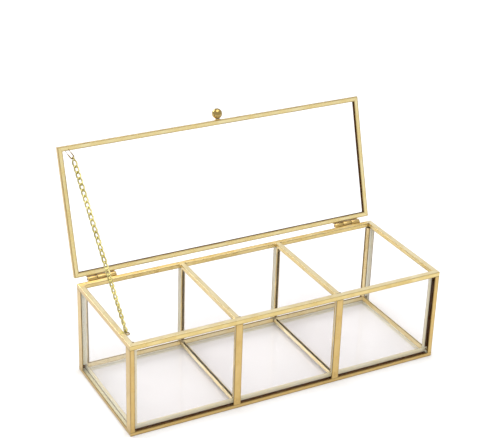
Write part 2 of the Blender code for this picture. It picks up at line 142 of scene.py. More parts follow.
X_AXIS = Vector((1, 0, 0))
Y_AXIS = Vector((0, 1, 0))
Z_AXIS = Vector((0, 0, 1))


# ---------------------------------------------------------------- materials

class Graph:
    """A material's node tree, with its Principled shader."""

    def __init__(self, name):
        self.material = bpy.data.materials.new(name)
        self.material.use_nodes = True
        self.tree = self.material.node_tree
        self.shader = self.tree.nodes["Principled BSDF"]
        self.output = self.tree.nodes["Material Output"]

    def node(self, kind, **settings):
        """A new node with these properties."""
        made = self.tree.nodes.new(kind)
        for key, value in settings.items():
            setattr(made, key, value)
        return made

    def link(self, source, target):
        self.tree.links.new(source, target)

    def place(self, stretch=(1, 1, 1)):
        """Coordinates on the piece itself, scaled along each of its axes."""
        where = self.node("ShaderNodeTexCoord")
        scale = self.node("ShaderNodeVectorMath", operation="MULTIPLY")
        scale.inputs[1].default_value = stretch
        self.link(where.outputs["Object"], scale.inputs[0])
        return scale.outputs[0]

    def noise(self, where, scale, detail=3.0, rough=0.5, warp=0.0):
        """Fractal noise from 0 to 1."""
        made = self.node("ShaderNodeTexNoise")
        made.inputs["Scale"].default_value = scale
        made.inputs["Detail"].default_value = detail
        made.inputs["Roughness"].default_value = rough
        made.inputs["Distortion"].default_value = warp
        self.link(where, made.inputs["Vector"])
        return made.outputs["Fac"]

    def spread(self, value, low=0.0, high=1.0, start=0.0, stop=1.0):
        """value from start..stop, mapped to low..high and held there."""
        made = self.node("ShaderNodeMapRange")
        for name, number in (("From Min", start), ("From Max", stop), ("To Min", low), ("To Max", high)):
            made.inputs[name].default_value = number
        self.link(value, made.inputs["Value"])
        return made.outputs["Result"]

    def math(self, operation, first, second):
        """An operation on two numbers, each of them fixed or linked."""
        made = self.node("ShaderNodeMath", operation=operation)
        for socket, value in zip(made.inputs, (first, second)):
            if isinstance(value, (int, float)):
                socket.default_value = value
            else:
                self.link(value, socket)
        return made.outputs[0]

    def mix(self, factor, first, second):
        """A colour between two colours, each of them fixed or linked."""
        made = self.node("ShaderNodeMix", data_type="RGBA")
        self.link(factor, made.inputs["Factor"])
        for socket, colour in ((made.inputs[6], first), (made.inputs[7], second)):
            if isinstance(colour, tuple):
                socket.default_value = (*colour, 1)
            else:
                self.link(colour, socket)
        return made.outputs[2]

    def bump(self, height, distance, under=None):
        """A height of this depth as a change of normal, on top of another one."""
        made = self.node("ShaderNodeBump")
        made.inputs["Distance"].default_value = distance
        made.inputs["Strength"].default_value = 1.0
        self.link(height, made.inputs["Height"])
        if under is not None:
            self.link(under, made.inputs["Normal"])
        return made.outputs["Normal"]


LINE_STRETCH = (1.0, 1.0, 0.05)
LINE_DEPTH = 0.000012
DENT_DEPTH = 0.00006
SPECK_SHADE = 0.45
COAT_ROUGHNESS = 0.12
# How dark the painted shade along the strips' borders makes their colour.
BORDER_PAINTED_SHADE = (0.42, 0.36, 0.26)


def brass(name, colour, worn, polished, dull, coat=0.6, streak=1.0, metal=1.0, rim=0.62):
    """Brass plating: drawn lines, shallow dents, tarnish in specks, and painted shade along the strip's
    borders.

    In soft patches, its tone goes from colour to worn and its roughness from polished to dull.
    """
    graph = Graph(name)
    along = graph.place(LINE_STRETCH)
    around = graph.place()
    cloud = graph.noise(around, scale=90.0, detail=4.0, rough=0.55)
    lines = graph.noise(along, scale=2600.0, detail=2.0, rough=0.6)
    specks = graph.noise(around, scale=1500.0, detail=3.0, rough=0.7)
    dents = graph.noise(around, scale=240.0, detail=2.0, rough=0.5, warp=0.3)

    tone = graph.mix(graph.spread(cloud, start=0.35, stop=0.68), colour, worn)
    spot = tuple(part * SPECK_SHADE for part in colour)
    tone = graph.mix(graph.spread(specks, high=0.6, start=0.66, stop=0.8), tone, spot)
    # Painted shade along the strip's borders, from its rim attribute, stronger in some patches than in
    # others.
    border = graph.node("ShaderNodeAttribute", attribute_name="rim").outputs["Fac"]
    patches = graph.spread(cloud, rim * 0.55, rim * 1.25, start=0.35, stop=0.65)
    painted_border_shade = tuple(part * shade for part, shade in zip(colour, BORDER_PAINTED_SHADE))
    tone = graph.mix(graph.math("MULTIPLY", border, patches), tone, painted_border_shade)
    graph.link(tone, graph.shader.inputs["Base Color"])

    drawn = graph.math("MULTIPLY", lines, 0.4 * streak)
    haze = graph.math("ADD", graph.math("MULTIPLY", cloud, 0.6), drawn)
    graph.link(graph.spread(haze, polished, dull, start=0.3, stop=0.75), graph.shader.inputs["Roughness"])
    dented = graph.bump(dents, DENT_DEPTH)
    graph.link(graph.bump(lines, LINE_DEPTH * streak, under=dented), graph.shader.inputs["Normal"])
    graph.shader.inputs["Metallic"].default_value = metal
    graph.shader.inputs["Coat Weight"].default_value = coat
    graph.shader.inputs["Coat Roughness"].default_value = COAT_ROUGHNESS
    return graph.material


PIT_DEPTH = 0.00005


def solder(name, colour, worn):
    """Flowed solder under the plating: uneven, with pits."""
    graph = Graph(name)
    around = graph.place()
    cloud = graph.noise(around, scale=700.0, detail=4.0, rough=0.6)
    pits = graph.noise(around, scale=2400.0, detail=2.0, rough=0.5)
    tone = graph.mix(graph.spread(cloud, start=0.35, stop=0.65), colour, worn)
    graph.link(tone, graph.shader.inputs["Base Color"])
    graph.link(graph.spread(pits, 0.2, 0.5, start=0.3, stop=0.7), graph.shader.inputs["Roughness"])
    graph.link(graph.bump(pits, PIT_DEPTH), graph.shader.inputs["Normal"])
    graph.shader.inputs["Metallic"].default_value = 1.0
    return graph.material


GRAZING_POWER = 5.0
GRAZING_MIRROR = 0.55
SMEAR_MIRROR = 0.010
SMEAR_SHADE = 0.988
MIRROR_COLOUR = (0.86, 0.87, 0.87, 1)


def clear_glass(name, passed, mirror=0.012):
    """Thin window glass: it lets light straight through, and mirrors more towards grazing angles."""
    graph = Graph(name)
    around = graph.place()
    smear = graph.noise(around, scale=26.0, detail=5.0, rough=0.6, warp=0.8)
    dust = graph.noise(around, scale=900.0, detail=2.0, rough=0.6)

    facing = graph.node("ShaderNodeLayerWeight").outputs["Facing"]
    rise = graph.math("POWER", facing, GRAZING_POWER)
    share = graph.math("ADD", graph.math("MULTIPLY", rise, GRAZING_MIRROR), mirror)
    share = graph.math("ADD", share, graph.spread(smear, high=SMEAR_MIRROR, start=0.5, stop=0.8))

    clear = graph.node("ShaderNodeBsdfTransparent")
    deeper = tuple(part * SMEAR_SHADE for part in passed)
    tint = graph.mix(graph.spread(smear, start=0.35, stop=0.7), passed, deeper)
    graph.link(tint, clear.inputs["Color"])

    graph.shader.inputs["Base Color"].default_value = MIRROR_COLOUR
    graph.shader.inputs["Metallic"].default_value = 1.0
    smeared = graph.spread(smear, 0.01, 0.09, start=0.45, stop=0.8)
    dusty = graph.spread(dust, high=0.05, start=0.6, stop=0.8)
    graph.link(graph.math("ADD", smeared, dusty), graph.shader.inputs["Roughness"])

    blend = graph.node("ShaderNodeMixShader")
    graph.link(share, blend.inputs[0])
    graph.link(clear.outputs[0], blend.inputs[1])
    graph.link(graph.shader.outputs[0], blend.inputs[2])
    graph.link(blend.outputs[0], graph.output.inputs["Surface"])
    return graph.material


GOLD = brass("brass_face", (0.56, 0.375, 0.12), (0.66, 0.475, 0.185), 0.2, 0.42)
BRIM = brass("brass_brim", (0.62, 0.455, 0.155), (0.78, 0.63, 0.29), 0.2, 0.42)
# A darker copy of the face brass, on faces turned sideways and on the rails' undersides: painted shade. The
# hinges and the knob's collar are made of it too.
SIDE = brass("brass_side", (0.50, 0.34, 0.11), (0.62, 0.45, 0.18), 0.24, 0.46, coat=0.35)
# A lighter copy of the brass, on the rails' top faces, the bottom beads' tops and bevels and the sills'
# sides: painted light.
PALE = brass("brass_pale", (0.90, 0.73, 0.38), (0.96, 0.85, 0.55), 0.22, 0.45, rim=0.4)
# A lighter copy of the brass, on the corner posts' inner bevels and the sides of the divider posts'
# channels: painted light.
BEVEL = brass("brass_bevel", (0.80, 0.62, 0.30), (0.92, 0.78, 0.46), 0.2, 0.4, coat=0.3, rim=0.6)
YELLOW = brass("brass_lid", (0.93, 0.73, 0.31), (1.0, 0.88, 0.50), 0.2, 0.42, rim=0.85)
# A pale, dull, non-metal copy of the brass, on the beads' backs behind the panes and the side rails' seats:
# painted light in the slots' shade, in place of the bright surroundings that polished brass would mirror
# there.
LINER = brass("brass_liner", (0.98, 0.90, 0.62), (0.99, 0.95, 0.76), 0.35, 0.5, coat=0.1, metal=0.0,
              rim=0.12)
# A pale non-metal copy of the brass, in the floor slots and the posts' side slots and channels: painted
# light over the shade they sit in.
CREAM = brass("brass_cream", (0.95, 0.90, 0.74), (0.97, 0.94, 0.84), 0.4, 0.6, coat=0.0, metal=0.0,
              rim=0.1)
# Dark brass inside the slots, channels and grooves, and under the sills: painted shade. The hinge pins are
# made of it too.
DARK = brass("brass_groove", (0.16, 0.06, 0.010), (0.24, 0.11, 0.025), 0.45, 0.7, coat=0.0, metal=0.4)
# Dark brown brass on the narrow steps and lips beside the slots and channels, and on the strips' ends:
# painted shade lines. The lid's wire staple is made of it too.
LIP = brass("brass_lip", (0.26, 0.165, 0.045), (0.42, 0.30, 0.11), 0.35, 0.6, coat=0.0)
POLISHED = brass("brass_polished", (0.36, 0.25, 0.065), (0.45, 0.32, 0.10), 0.08, 0.2, streak=0.3)
CHAIN = brass("chain_plating", (0.40, 0.34, 0.10), (0.68, 0.60, 0.26), 0.12, 0.28, coat=0.4, streak=0.4)
SOLDER = solder("solder_plated", (0.72, 0.52, 0.22), (0.86, 0.70, 0.40))
FLUX = solder("solder_flux", (0.16, 0.10, 0.03), (0.30, 0.21, 0.09))
GLASS_CLEAR = clear_glass("glass_pane", (0.977, 0.972, 0.972))
GLASS_LID = clear_glass("glass_lid", (0.990, 0.989, 0.990))
GLASS_EDGE = clear_glass("glass_edge", (0.93, 0.945, 0.935), mirror=0.03)
# Tones of the strips' faces: 'side', 'dark' and 'lip' are painted shade; 'pale', 'bevel', 'liner' and
# 'cream' are painted light.
TONES = {"gold": GOLD, "brim": BRIM, "side": SIDE, "pale": PALE, "bevel": BEVEL, "yellow": YELLOW,
         "liner": LINER, "cream": CREAM, "dark": DARK, "lip": LIP}


# ---------------------------------------------------------------- pieces

def show(name, mesh, body, matrix, materials, nodes=()):
    """A finished mesh, placed, with its materials, its body and the CAD nodes it stands for."""
    obj = bpy.data.objects.new(name, mesh)
    bpy.context.scene.collection.objects.link(obj)
    for material in materials:
        mesh.materials.append(material)
    obj.matrix_world = matrix
    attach(obj, body)
    if nodes:
        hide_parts(*nodes)


def mesh_from(made, name, angle=35):
    """The finished mesh of a bmesh: smoothly shaded, with edges sharper than this angle kept crisp."""
    mesh = bpy.data.meshes.new(name)
    made.to_mesh(mesh)
    made.free()
    mesh.shade_smooth()
    mesh.set_sharp_from_angle(angle=radians(angle))
    return mesh


BEND_STEPS = 4
BEND_SHARE = 0.45
# How far from each bend the painted shade along a strip's borders reaches.
RIM_WIDTH = 0.00055


def rounded(outline, tones, bend):
    """The outline with small arcs at its corners; per point, the tone of the face it starts and its rim.

    The rim, which sets where brass() paints shade along the borders, is 1 at the corners and 0 on the
    flats, which get points of their own if they are wide enough.
    """
    points, faces, rims = [], [], []
    for i, corner in enumerate(outline):
        corner = Vector(corner)
        back = Vector(outline[i - 1]) - corner
        ahead = Vector(outline[(i + 1) % len(outline)]) - corner
        reach = min(bend / tan(back.angle(ahead) / 2), BEND_SHARE * back.length, BEND_SHARE * ahead.length)
        start = corner + back.normalized() * reach
        stop = corner + ahead.normalized() * reach
        for k in range(BEND_STEPS + 1):
            t = k / BEND_STEPS
            points.append(start * (1 - t) ** 2 + corner * 2 * t * (1 - t) + stop * t ** 2)
            faces.append(tones[i - 1] if k < BEND_STEPS / 2 else tones[i])
            rims.append(1.0)
        if ahead.length > 4 * RIM_WIDTH:
            first = (reach + RIM_WIDTH) / ahead.length
            last = 1 - (bend + RIM_WIDTH) / ahead.length
            for share in (first, 0.5, last):
                points.append(corner + ahead * share)
                faces.append(tones[i])
                rims.append(0.0)
    return points, faces, rims


WAVE = 0.00004
WAVE_LENGTH = 0.017
WAVE_ROWS = (7.3, 14.6)
STATION = 0.0025


def swept(node, section, length, bend, mitred, foot, flipped):
    """A strip's mesh along Z, slightly wavy, and the tones of its faces in the order of its materials.

    Mitred ends are cut back by the section's depth. foot gives how far each point of the section starts
    above the strip's lower end, which is its far end if the strip is flipped.
    """
    points, faces, rims = rounded(*section, bend)
    palette = sorted(set(faces))
    count = max(2, round(length / STATION))
    seed = sum(ord(letter) for letter in node)
    made = bmesh.new()
    border = made.verts.layers.float.new("rim")
    rings = []
    for s in range(count + 1):
        ring = []
        for point, rim in zip(points, rims):
            inset = point.y + JOINT_GAP if mitred else 0.0
            raised = foot(point.x, point.y) if foot else 0.0
            low = -length / 2 + inset + (0.0 if flipped else raised)
            high = length / 2 - inset - (raised if flipped else 0.0)
            z = low + (high - low) * s / count
            sway = [WAVE * noise.noise(Vector((z / WAVE_LENGTH, seed, row))) for row in WAVE_ROWS]
            vertex = made.verts.new((point.x + sway[0], point.y + sway[1], z))
            vertex[border] = rim
            ring.append(vertex)
        rings.append(ring)
    total = len(points)
    for lower, upper in zip(rings, rings[1:]):
        for i in range(total):
            j = (i + 1) % total
            face = made.faces.new((lower[i], lower[j], upper[j], upper[i]))
            face.material_index = palette.index(faces[i])
    ends = palette.index("lip") if "lip" in palette else 0
    for ring in (rings[0][::-1], rings[-1]):
        made.faces.new(ring).material_index = ends
    bmesh.ops.recalc_face_normals(made, faces=made.faces)
    return mesh_from(made, node + "_strip"), palette


def strip(node, section, length, first, second, place, on=ON_BOX, bend=0.0003, mitred=False, foot=None):
    """A folded strip along its own Z: its section's two axes run along first and second."""
    space, body = on
    along = first.cross(second)
    mesh, palette = swept(node, section, length, bend, mitred, foot, flipped=along.z < 0)
    turn = Matrix((first, second, along)).transposed().to_4x4()
    matrix = space @ Matrix.Translation(place) @ turn
    materials = [TONES[tone] for tone in palette]
    show(node + "_strip", mesh, body, matrix, materials, (node,))


def rail_section(face):
    """Bottom rails: an outer flange, a slot for the pane, and an inner bead that leans over the floor."""
    # Painted shade: on the front and rear rails the slot's seat and the foot of the bead's back are dark;
    # on the side rails the seat takes the liner's painted light and the dark foot is lower.
    seat, painted_shade_top = ("liner", SIDE_PAINTED_SHADE_TOP) if face == "side" else ("dark", PAINTED_SHADE_TOP)
    outline = [
        (0, 0), (RAIL_FLANGE, 0), (RAIL_FLANGE, SKIN), (SLOT_WALL, SKIN), (SLOT_WALL, GLASS_BACK),
        (painted_shade_top, GLASS_BACK), (BEAD_TIP, GLASS_BACK), (BEAD_TIP, GLASS_BACK + BEAD_LIP),
        (RAIL_BEVEL, BEAD_ROOT), (FLOOR_SLOT[1] + BEAD_LIP, RAIL_TOE),
        (FLOOR_SLOT[1] + BEAD_LIP, RAIL_LIP), (FLOOR_SLOT[1], RAIL_LIP), (FLOOR_SLOT[1], FLOOR_SLOT_ROOT),
        (FLOOR_SLOT[0], FLOOR_SLOT_ROOT), (FLOOR_SLOT[0], RAIL_LIP), (0, RAIL_LIP),
    ]
    tones = [face, "lip", "gold", seat, "dark", "liner", "pale", "lip", "pale", "lip", "cream", "cream",
             "cream", "cream", "cream", "side"]
    return outline, tones


def corner_section(face, side):
    """Corner posts: two outer flanges, a slot for each pane and a bevelled inner bead."""
    outline = [
        (0, 0), (FACE_FLANGE, 0), (FACE_FLANGE, SKIN), (SLOT_WALL, SKIN), (SLOT_WALL, GLASS_BACK),
        (POST_PAINTED_SHADE_TOP, GLASS_BACK), (BEAD_TIP, GLASS_BACK), (BEAD_TIP, GLASS_BACK + BEAD_LIP),
        (BEAD_BEVEL, BEAD_ROOT), (BEAD_ROOT, BEAD_BEVEL), (GLASS_BACK + BEAD_LIP, BEAD_TIP),
        (GLASS_BACK, BEAD_TIP), (GLASS_BACK, SIDE_SLOT), (SKIN, SIDE_SLOT), (SKIN, SIDE_FLANGE),
        (0, SIDE_FLANGE),
    ]
    # The slot's walls and the foot of the bead's back are dark: painted shade.
    tones = [face, "lip", "gold", "dark", "dark", "liner", "lip", "lip", "bevel", "lip", "cream", "cream",
             "cream", "cream", "lip", side]
    return outline, tones


def top_section(face):
    """Top rails: a channel over the panes' edges, with its mouth down and its inner leg shorter."""
    outline = [
        (0, 0), (CAP_OUTER, 0), (CAP_OUTER, SKIN), (SKIN, SKIN), (SKIN, CAP_LINER), (CAP_INNER, CAP_LINER),
        (CAP_INNER, CAP_WIDTH), (0, CAP_WIDTH),
    ]
    outer = "brim" if face == "gold" else face
    return outline, [outer, "dark", "dark", "dark", "lip", "dark", "brim", "pale"]


def channel_section(half, depth, back, side):
    """A channel that is open on the side away from its back: the dividers' caps and sills."""
    inner = CHANNEL_MOUTH_HALF
    outline = [
        (-half, 0), (half, 0), (half, depth), (inner, depth), (inner, CHANNEL_BASE),
        (-inner, CHANNEL_BASE), (-inner, depth), (-half, depth),
    ]
    return outline, [back, side, side, "lip", "dark", "lip", side, side]


def post_section(flange):
    """Divider posts: a flange between two front or rear panes, a web, and a channel for the cross pane."""
    inner = CHANNEL_MOUTH_HALF
    base = GLASS_BACK + CHANNEL_BASE
    half = [
        (flange, 0), (flange, SKIN), (POST_WEB, SKIN), (POST_WEB, GLASS_BACK), (CHANNEL_HALF, GLASS_BACK),
        (CHANNEL_HALF, CHANNEL_REACH), (inner, CHANNEL_REACH), (inner, base),
    ]
    tones = ["lip", "cream", "cream", "cream", "bevel", "bevel", "lip"]
    outline = half + [(-x, y) for x, y in reversed(half)]
    return outline, tones + ["lip"] + tones[::-1] + ["gold"]


def lid_section():
    """The lid's rails: a channel around the glass, with its mouth inwards."""
    outline = [
        (0, 0), (0, LID_RAIL), (LID_SKIN, LID_RAIL), (LID_SKIN, LID_SPINE),
        (LID_THICKNESS - LID_SKIN, LID_SPINE), (LID_THICKNESS - LID_SKIN, LID_RAIL),
        (LID_THICKNESS, LID_RAIL), (LID_THICKNESS, 0),
    ]
    return outline, ["yellow", "lip", "dark", "dark", "dark", "lip", "gold", "side"]


def edge_rails(stem, section, level, up):
    """Four mitred rails around the box at one level."""
    rails = (("front", "gold", Y_AXIS, HALF_Y, HALF_X), ("rear", "gold", -Y_AXIS, HALF_Y, HALF_X),
             ("left", "side", X_AXIS, HALF_X, HALF_Y), ("right", "side", -X_AXIS, HALF_X, HALF_Y))
    for side, face, inward, out, half in rails:
        place = Vector((0, 0, level)) - inward * out
        strip(f"{stem}_{side}", section(face), 2 * half, up, inward, place, mitred=True)


def corner_foot(x, y):
    """How much higher a point of a corner post's section starts than its flanges."""
    return FOLD_RISE if x > FOLD_START and y > CAP_INNER else 0.0


def divider_foot(_, y):
    """How much higher a point of a divider post's section starts than its flange."""
    return FOLD_RISE if y > CAP_INNER else 0.0


def uprights():
    """Corner posts and divider posts, from the bottom rails' flanges up to the top rails."""
    low = RAIL_FLANGE + JOINT_GAP
    high = HEIGHT - CAP_OUTER - JOINT_GAP
    length, middle = high - low, (low + high) / 2
    for face, y_in in (("front", 1), ("rear", -1)):
        for side, x_in in (("left", 1), ("right", -1)):
            place = Vector((-x_in * HALF_X, -y_in * HALF_Y, middle))
            strip(f"corner_post_{face}_{side}", corner_section("gold", "side"), length, X_AXIS * x_in,
                  Y_AXIS * y_in, place, foot=corner_foot)
    for face, y_in, flange in (("front", 1, FRONT_POST_HALF), ("rear", -1, REAR_POST_HALF)):
        for side, x in DIVIDERS:
            place = Vector((x, -y_in * HALF_Y, middle))
            strip(f"divider_post_{face}_{side}", post_section(flange), length, X_AXIS, Y_AXIS * y_in, place,
                  foot=divider_foot)


SILL_BEND = 0.0002


def dividers():
    """The channels on the floor under the cross panes and over their top edges."""
    sill = channel_section(CHANNEL_HALF, SILL_HEIGHT, "dark", "pale")
    sill_length = 2 * (HALF_Y - RAIL_LIP - JOINT_GAP)
    cap = channel_section(DIVIDER_CAP_HALF, CAP_INNER, "pale", "brim")
    cap_length = 2 * (HALF_Y - CAP_WIDTH - JOINT_GAP)
    for side, x in DIVIDERS:
        on_floor = Vector((x, 0, FLOOR_TOP + PANE_INSET))
        strip(f"divider_sill_{side}", sill, sill_length, X_AXIS, Z_AXIS, on_floor, bend=SILL_BEND)
        strip(f"divider_cap_{side}", cap, cap_length, X_AXIS, -Z_AXIS, Vector((x, 0, HEIGHT)))


PANE_SEAM = 0.00025


def seam_edges(made, thin):
    """Seams all the edges of a pane that is thin along one axis, and tints all but its two faces."""
    bmesh.ops.bevel(made, geom=made.edges[:], offset=PANE_SEAM, segments=2, affect="EDGES", profile=0.6)
    for face in made.faces:
        face.material_index = 0 if abs(face.normal[thin]) > 0.99 else 1


def show_pane(node, made, body, matrix, clear):
    """A pane's finished mesh, flat shaded, in place of its node."""
    mesh = bpy.data.meshes.new(node + "_pane")
    made.to_mesh(mesh)
    made.free()
    show(node + "_pane", mesh, body, matrix, [clear, GLASS_EDGE], (node,))


def pane(node, low, high, on, clear):
    """A rectangular pane between two corners, with seamed edges."""
    space, body = on
    low, high = Vector(low), Vector(high)
    size = high - low
    made = bmesh.new()
    bmesh.ops.create_cube(made, size=1.0, matrix=Matrix.Diagonal((*size, 1.0)))
    seam_edges(made, min(range(3), key=lambda axis: size[axis]))
    show_pane(node, made, body, space @ Matrix.Translation((low + high) / 2), clear)


def panes():
    """The floor and the upright panes of the box's four sides, where their nodes are."""
    shift = BOX.inverted()
    for node in sorted(frame["nodes"]):
        if node.startswith("glass_") and node != "glass_lid":
            low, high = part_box(node)
            pane(node, shift @ low, shift @ high, ON_BOX, GLASS_CLEAR)


def divider_glass():
    """The cross panes, whose lower corners are cut off to clear the bottom beads."""
    for side in ("left", "right"):
        node = "divider_glass_" + side
        made = bmesh.new()
        made.from_mesh(frame["nodes"][node].data)
        bmesh.ops.remove_doubles(made, verts=made.verts, dist=1e-6)
        bmesh.ops.dissolve_limit(made, angle_limit=radians(1), verts=made.verts, edges=made.edges)
        seam_edges(made, 0)
        show_pane(node, made, "box", Matrix.Identity(4), GLASS_CLEAR)


LID_BEND = 0.00035


def lid():
    """The lid's four mitred rails and its pane."""
    rear = -AXIS_BEHIND
    front = rear - LID_DEPTH
    centre = (front + rear) / 2
    rails = (("front", 2 * HALF_X, Y_AXIS, (0, front, LID_BASE)),
             ("hinge", 2 * HALF_X, -Y_AXIS, (0, rear, LID_BASE)),
             ("left", LID_DEPTH, X_AXIS, (-HALF_X, centre, LID_BASE)),
             ("right", LID_DEPTH, -X_AXIS, (HALF_X, centre, LID_BASE)))
    for name, length, inward, place in rails:
        strip("lid_rail_" + name, lid_section(), length, Z_AXIS, inward, Vector(place), ON_LID,
              bend=LID_BEND, mitred=True)
    edge = LID_SPINE + PANE_INSET
    pane("glass_lid", (edge - HALF_X, front + edge, LID_MIDDLE - LID_GLASS / 2),
         (HALF_X - edge, rear - edge, LID_MIDDLE + LID_GLASS / 2), ON_LID, GLASS_LID)


def lathe(profile, steps):
    """A closed turned body: (radius, height) pairs from pole to pole, spun about Z."""
    made = bmesh.new()
    rings = []
    for radius, height in profile:
        if radius == 0:
            rings.append([made.verts.new((0, 0, height))])
        else:
            turns = [2 * pi * i / steps for i in range(steps)]
            places = [(radius * cos(turn), radius * sin(turn), height) for turn in turns]
            rings.append([made.verts.new(place) for place in places])
    for lower, upper in zip(rings, rings[1:]):
        for i in range(steps):
            j = (i + 1) % steps
            if len(lower) == 1:
                made.faces.new((lower[0], upper[i], upper[j]))
            elif len(upper) == 1:
                made.faces.new((lower[i], upper[0], lower[j]))
            else:
                made.faces.new((lower[i], upper[i], upper[j], lower[j]))
    bmesh.ops.recalc_face_normals(made, faces=made.faces)
    return made


KNOB_RADIUS = 0.0036
KNOB_FLAT = 0.0031
KNOB_NECK = 0.0014
KNOB_STEPS = 24
NECK_SINK = 0.00025
NECK_TOP = 0.00005
COLLAR_RADIUS = 0.0020
COLLAR_HEIGHT = 0.0006
COLLAR_STEP = 0.00028
COLLAR_DOME = 0.00014
SOLDER_FILLET = 0.0001


def collar_profile():
    """A stepped collar with a rounded shoulder, and a fillet of solder around its foot."""
    top = COLLAR_HEIGHT + COLLAR_DOME
    return [(0, -SOLDER_FILLET), (COLLAR_RADIUS * 1.08, -SOLDER_FILLET),
            (COLLAR_RADIUS * 1.12, SOLDER_FILLET), (COLLAR_RADIUS, COLLAR_STEP),
            (COLLAR_RADIUS * 0.97, COLLAR_HEIGHT * 0.8),
            (COLLAR_RADIUS * 0.86, COLLAR_HEIGHT + SOLDER_FILLET), (KNOB_NECK, top), (0, top)]


def ball_profile():
    """A ball on a short neck, which is sunk into the collar."""
    seat = 2 * PANE_INSET + COLLAR_HEIGHT
    centre = seat + KNOB_FLAT
    start = -atan2(KNOB_FLAT, KNOB_NECK * 1.15)
    profile = [(0, seat - NECK_SINK), (KNOB_NECK, seat - NECK_SINK), (KNOB_NECK * 0.96, seat - NECK_TOP)]
    for i in range(KNOB_STEPS):
        angle = start + (pi / 2 - start) * i / KNOB_STEPS
        profile.append((KNOB_RADIUS * cos(angle), centre + KNOB_RADIUS * sin(angle)))
    return profile + [(0, centre + KNOB_RADIUS)]


def knob():
    """Ball knob on a collar that is soldered to the lid's free edge."""
    ball_low, ball_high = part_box("knob_ball")
    at_edge = Matrix.Translation(((ball_low.x + ball_high.x) / 2, -AXIS_BEHIND - LID_DEPTH, LID_MIDDLE))
    outward = LID @ at_edge @ Matrix.Rotation(pi / 2, 4, "X")
    for node, profile, steps, angle, material in (("knob_collar", collar_profile(), 48, 35, SIDE),
                                                  ("knob_ball", ball_profile(), 64, 50, POLISHED)):
        mesh = mesh_from(lathe(profile, steps), node + "_turned", angle)
        mesh.transform(outward)
        show(node + "_turned", mesh, "lid", Matrix.Identity(4), [material], (node,))


KNUCKLE_RADIUS = 0.0015
KNUCKLE_RIM = 0.00015
KNUCKLE_GAP = 0.0003
KNUCKLES = 3
PIN_RADIUS = 0.0006
PIN_DOME = 0.0003
LEAF_THICKNESS = 0.0007
LEAF_ROUND = 0.22 * LEAF_THICKNESS
LEAF_CLEAR = 0.0014
LEAF_TUCK = 0.0006
LEAF_PAST = 0.0003
BOX_LEAF_DROP = 0.0046
LID_LEAF_SHORT = 0.00015


def merge(made, part):
    """Adds one bmesh to another, and frees it."""
    piece = bpy.data.meshes.new("part")
    part.to_mesh(piece)
    part.free()
    made.from_mesh(piece)
    bpy.data.meshes.remove(piece)


def barrel(made, start, stop, radius, rim=KNUCKLE_RIM):
    """A round bar along X between two places, with its ends rounded off, added to a mesh."""
    bevel = 0.3 * rim
    profile = [(0, start), (radius - rim, start), (radius - bevel, start + bevel), (radius, start + rim),
               (radius, stop - rim), (radius - bevel, stop - bevel), (radius - rim, stop), (0, stop)]
    roll = lathe(profile, 32)
    bmesh.ops.transform(roll, matrix=Matrix.Rotation(pi / 2, 4, "Y"), verts=roll.verts)
    merge(made, roll)


def leaf_plate(made, low, high):
    """A flat plate with rounded corners and edges, added to a mesh."""
    low, high = Vector(low), Vector(high)
    plate = bmesh.new()
    middle = Matrix.Translation((low + high) / 2)
    bmesh.ops.create_cube(plate, size=1.0, matrix=middle @ Matrix.Diagonal((*(high - low), 1.0)))
    bmesh.ops.bevel(plate, geom=plate.edges[:], offset=LEAF_ROUND, segments=2, affect="EDGES", profile=0.5)
    merge(made, plate)


def show_hinge_part(name, ending, made, body, matrix, material):
    """A finished piece of a hinge, in place of its node."""
    mesh = mesh_from(made, name + ending)
    show(name + ending, mesh, body, matrix, [material], (name,))


def hinges():
    """Butt hinges: two knuckles on the box's leaf, one on the lid's, and a pin with domed heads."""
    near = KNUCKLE_GAP - AXIS_BEHIND
    far = near + LEAF_THICKNESS
    lid_top = LID_BASE + LID_THICKNESS - LID_LEAF_SHORT
    for side in ("left", "right"):
        low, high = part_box(f"hinge_{side}_box_leaf")
        x, half = (low.x + high.x) / 2, (high.x - low.x) / 2
        knuckle = (2 * half - (KNUCKLES - 1) * KNUCKLE_GAP) / KNUCKLES
        inner = half - knuckle
        on_box = Matrix.Translation((x, HINGE_AT.y, HINGE_AT.z))
        on_lid = LID @ Matrix.Translation((x, 0, 0))

        made = bmesh.new()
        for start, stop in ((-half, -inner), (inner, half)):
            barrel(made, start, stop, KNUCKLE_RADIUS)
            leaf_plate(made, (start, near, -LEAF_CLEAR - LEAF_TUCK), (stop, far, LEAF_PAST))
        leaf_plate(made, (-half, near, -BOX_LEAF_DROP), (half, far, -LEAF_CLEAR))
        show_hinge_part(f"hinge_{side}_box_leaf", "_rolled", made, "box", on_box, SIDE)

        made = bmesh.new()
        barrel(made, -knuckle / 2, knuckle / 2, KNUCKLE_RADIUS)
        leaf_plate(made, (-knuckle / 2, near, -LEAF_PAST), (knuckle / 2, far, LEAF_CLEAR + LEAF_TUCK))
        leaf_plate(made, (-half, near, LEAF_CLEAR), (half, far, lid_top))
        show_hinge_part(f"hinge_{side}_lid_leaf", "_rolled", made, "lid", on_lid, SIDE)

        made = bmesh.new()
        barrel(made, -half - KNUCKLE_GAP, half + KNUCKLE_GAP, PIN_RADIUS, PIN_DOME)
        show_hinge_part(f"hinge_{side}_pin", "_domed", made, "box", on_box, DARK)


